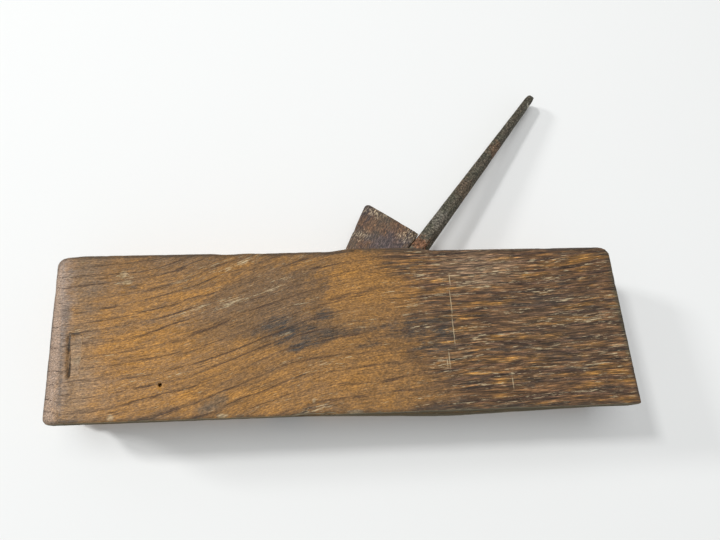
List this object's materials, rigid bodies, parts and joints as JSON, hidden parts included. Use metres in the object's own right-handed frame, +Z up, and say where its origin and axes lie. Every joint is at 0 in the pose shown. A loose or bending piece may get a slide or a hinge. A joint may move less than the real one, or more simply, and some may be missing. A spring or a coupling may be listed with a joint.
{
  "type": "wooden moulding plane",
  "caption": "Wooden moulding plane with a stepped stock, a concave sole, a side escapement, and a forged iron with a narrow tang locked by a wooden wedge.",
  "frame": {"origin": "middle of the sole, on the plane of its two flat margins", "axes": "+X from toe to heel, +Y towards the open side where shavings leave, +Z up from the sole"},
  "size_m": [0.24, 0.036, 0.1581],
  "materials": {
    "stock_wood": "worn, oiled and stained by use",
    "forged_iron": "forged, dark patina with rust",
    "wedge_wood": "worn, dark red-brown"
  },
  "bodies": {
    "stock": {"stock": "stock_wood"},
    "iron": {"iron": "forged_iron"},
    "wedge": {"wedge": "wedge_wood"}
  },
  "joints": [
    {"name": "iron_slide", "type": "slide", "parent": "stock", "child": "iron", "axis": [-0.6428, 0, -0.766], "range_m": [-0.001, 0.17]},
    {"name": "wedge_slide", "type": "slide", "parent": "stock", "child": "wedge", "axis": [0.5424, 0, 0.8401], "range_m": [0, 0.1]}
  ]
}
